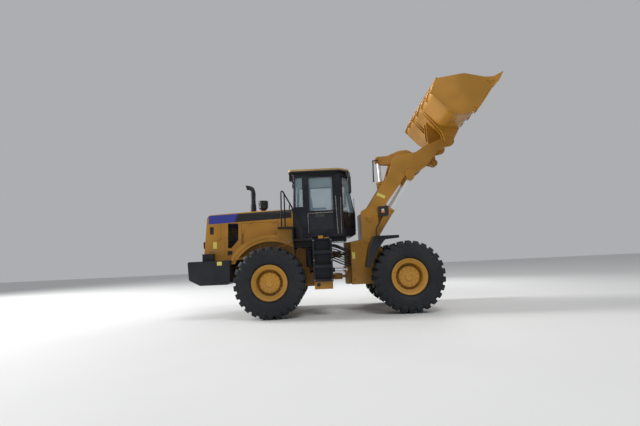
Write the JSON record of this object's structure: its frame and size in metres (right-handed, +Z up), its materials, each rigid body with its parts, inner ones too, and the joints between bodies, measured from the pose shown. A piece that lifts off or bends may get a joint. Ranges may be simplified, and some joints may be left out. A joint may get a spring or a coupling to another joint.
{
  "type": "articulated wheel loader with a Z-bar bucket linkage",
  "caption": "Yellow articulated wheel loader with enclosed cab and raised toothed bucket on a Z-bar linkage, with working steering, boom, bucket, wheels and doors.",
  "frame": {"origin": "on the ground under the middle of the whole machine's length and width", "axes": "+X forward to the bucket, +Y to the machine's left, +Z up"},
  "size_m": [7.3513, 2.96, 5.3381],
  "materials": {
    "yellow": "semi-gloss, dusty",
    "charcoal": "painted, semi-matt",
    "navy": "semi-gloss",
    "black": "satin",
    "rim_yellow": "satin, dusty",
    "tyre": "matt, dusty",
    "chrome": "polished",
    "steel": "worn",
    "glass": "clear, slightly tinted",
    "cast": "as cast, painted grey",
    "roof_tan": "satin, dusty",
    "seat_cloth": "grained",
    "lamp": "gloss, clear front"
  },
  "bodies": {
    "rear_body": {"rear_frame": "yellow", "counterweight": "charcoal", "hood": "yellow", "rear_grille": "black", "power_train": "cast", "exhaust_stack": "black", "air_precleaner": "black", "rear_axle": "yellow", "tanks": "yellow", "step_boxes": "navy", "platforms": "black", "rear_fenders": "yellow", "cab_frame": "navy", "cab_roof": "roof_tan", "cab_glass": "glass", "seat": "seat_cloth", "console": "black", "work_lamps": "lamp", "mirrors": "lamp", "hitch_pins": "steel", "side_vents": "black"},
    "front_body": {"front_frame": "yellow", "front_axle": "yellow", "front_fenders": "black", "headlamps": "lamp", "drive_shaft": "cast"},
    "boom_body": {"boom": "yellow"},
    "lift_barrels_body": {"lift_barrels": "yellow"},
    "lift_rods_body": {"lift_rods": "chrome"},
    "tilt_barrel_body": {"tilt_barrel": "yellow"},
    "tilt_rod_body": {"tilt_rod": "chrome"},
    "bellcrank_pin_body": {"bellcrank_pin": "steel"},
    "bellcrank_body": {"bellcrank": "yellow", "link_pin": "steel"},
    "link_body": {"link": "yellow"},
    "bucket_pins_body": {"bucket_pins": "steel"},
    "bucket_body": {"bucket": "yellow"},
    "wheel_rear_right": {"rim_rear_right": "rim_yellow", "tyre_rear_right": "tyre"},
    "wheel_rear_left": {"rim_rear_left": "rim_yellow", "tyre_rear_left": "tyre"},
    "wheel_front_right": {"rim_front_right": "rim_yellow", "tyre_front_right": "tyre"},
    "wheel_front_left": {"rim_front_left": "rim_yellow", "tyre_front_left": "tyre"},
    "door_right_body": {"door_right": "navy", "door_glass_right": "glass"},
    "engine_door_right_body": {"engine_door_right": "yellow"},
    "steer_barrel_right_body": {"steer_barrel_right": "yellow"},
    "steer_rod_right_body": {"steer_rod_right": "chrome"},
    "door_left_body": {"door_left": "navy", "door_glass_left": "glass"},
    "engine_door_left_body": {"engine_door_left": "yellow"},
    "steer_barrel_left_body": {"steer_barrel_left": "yellow"},
    "steer_rod_left_body": {"steer_rod_left": "chrome"}
  },
  "joints": [
    {"name": "steer", "type": "hinge", "parent": "rear_body", "child": "front_body", "pos_m": [-0.28869, 0, 1.37], "axis": [0, 0, 1], "range_deg": [-35, 35]},
    {"name": "spin_rear_right", "type": "hinge", "parent": "rear_body", "child": "wheel_rear_right", "pos_m": [-1.83869, -1.075, 0.8], "axis": [0, 1, 0], "continuous": true},
    {"name": "spin_rear_left", "type": "hinge", "parent": "rear_body", "child": "wheel_rear_left", "pos_m": [-1.83869, 1.075, 0.8], "axis": [0, 1, 0], "continuous": true},
    {"name": "spin_front_right", "type": "hinge", "parent": "front_body", "child": "wheel_front_right", "pos_m": [1.26131, -1.075, 0.8], "axis": [0, 1, 0], "continuous": true},
    {"name": "spin_front_left", "type": "hinge", "parent": "front_body", "child": "wheel_front_left", "pos_m": [1.26131, 1.075, 0.8], "axis": [0, 1, 0], "continuous": true},
    {"name": "boom_lift", "type": "hinge", "parent": "front_body", "child": "boom_body", "pos_m": [0.53131, 0, 2.2], "axis": [0, -1, 0], "range_deg": [-85, 2]},
    {"name": "bucket_level", "type": "hinge", "parent": "boom_body", "child": "bucket_pins_body", "pos_m": [2.64131, 0, 4.06], "axis": [0, -1, 0], "range_deg": [-1.79, 55.5]},
    {"name": "bucket_tilt", "type": "hinge", "parent": "bucket_pins_body", "child": "bucket_body", "pos_m": [2.64131, 0, 4.06], "axis": [0, 1, 0], "range_deg": [0, 95]},
    {"name": "bellcrank_level", "type": "hinge", "parent": "boom_body", "child": "bellcrank_pin_body", "pos_m": [1.51131, 0, 3.82], "axis": [0, -1, 0], "range_deg": [-23.25, 1.04]},
    {"name": "bellcrank_tilt", "type": "hinge", "parent": "bellcrank_pin_body", "child": "bellcrank_body", "pos_m": [1.51131, 0, 3.82], "axis": [0, -1, 0], "range_deg": [-0.5, 31.89]},
    {"name": "link_tilt", "type": "hinge", "parent": "bellcrank_body", "child": "link_body", "pos_m": [2.33131, 0, 3.6], "axis": [0, -1, 0], "range_deg": [-88.39, 0.5]},
    {"name": "tilt_barrel_swing", "type": "hinge", "parent": "front_body", "child": "tilt_barrel_body", "pos_m": [0.97131, 0, 2.31], "axis": [0, -1, 0], "range_deg": [-107.24, 3.01]},
    {"name": "tilt_rod_slide", "type": "slide", "parent": "tilt_barrel_body", "child": "tilt_rod_body", "axis": [-0.0419, 0, 0.9991], "range_m": [-0.3019, 0.002]},
    {"name": "lift_barrels_swing", "type": "hinge", "parent": "front_body", "child": "lift_barrels_body", "pos_m": [0.55131, 0, 1.61], "axis": [0, -1, 0], "range_deg": [-77.29, 2.31]},
    {"name": "lift_rods_slide", "type": "slide", "parent": "lift_barrels_body", "child": "lift_rods_body", "axis": [0.5571, 0, 0.8304], "range_m": [-0.7715, 0.0201]},
    {"name": "steer_barrel_right_swing", "type": "hinge", "parent": "rear_body", "child": "steer_barrel_right_body", "pos_m": [-0.90869, -0.47, 1], "axis": [0, 0, 1], "range_deg": [-6.3, 6.3]},
    {"name": "steer_rod_right_slide", "type": "slide", "parent": "steer_barrel_right_body", "child": "steer_rod_right_body", "axis": [0.9804, 0.1972, 0], "range_m": [-0.2026, 0.2026]},
    {"name": "steer_barrel_left_swing", "type": "hinge", "parent": "rear_body", "child": "steer_barrel_left_body", "pos_m": [-0.90869, 0.47, 1], "axis": [0, 0, 1], "range_deg": [-6.3, 6.3]},
    {"name": "steer_rod_left_slide", "type": "slide", "parent": "steer_barrel_left_body", "child": "steer_rod_left_body", "axis": [0.9804, -0.1972, 0], "range_m": [-0.2026, 0.2026]},
    {"name": "door_right_swing", "type": "hinge", "parent": "rear_body", "child": "door_right_body", "pos_m": [-0.98869, -0.818, 2.05], "axis": [0, 0, -1], "range_deg": [0, 90]},
    {"name": "door_left_swing", "type": "hinge", "parent": "rear_body", "child": "door_left_body", "pos_m": [-0.98869, 0.818, 2.05], "axis": [0, 0, 1], "range_deg": [0, 90]},
    {"name": "engine_door_right_lift", "type": "hinge", "parent": "rear_body", "child": "engine_door_right_body", "pos_m": [-2.09369, -0.762, 2.212], "axis": [-1, 0, 0], "range_deg": [0, 80]},
    {"name": "engine_door_left_lift", "type": "hinge", "parent": "rear_body", "child": "engine_door_left_body", "pos_m": [-2.09369, 0.762, 2.212], "axis": [1, 0, 0], "range_deg": [0, 80]}
  ],
  "couplings": [
    {"joint": "bucket_level", "follows": "boom_lift", "ratio": -0.64706},
    {"joint": "bellcrank_level", "follows": "boom_lift", "ratio": 0.26759},
    {"joint": "bellcrank_tilt", "follows": "bucket_tilt", "ratio": 0.33043},
    {"joint": "link_tilt", "follows": "bucket_tilt", "ratio": -0.92517},
    {"joint": "tilt_barrel_swing", "follows": "boom_lift", "ratio": 1.2558},
    {"joint": "tilt_rod_slide", "follows": "bucket_tilt", "m_per_rad": -0.1809},
    {"joint": "lift_barrels_swing", "follows": "boom_lift", "ratio": 0.90344},
    {"joint": "lift_rods_slide", "follows": "boom_lift", "m_per_rad": 0.51867},
    {"joint": "steer_barrel_right_swing", "follows": "steer", "ratio": 0.16572},
    {"joint": "steer_rod_right_slide", "follows": "steer", "m_per_rad": 0.32837},
    {"joint": "steer_barrel_left_swing", "follows": "steer", "ratio": 0.16572},
    {"joint": "steer_rod_left_slide", "follows": "steer", "m_per_rad": -0.32837}
  ]
}
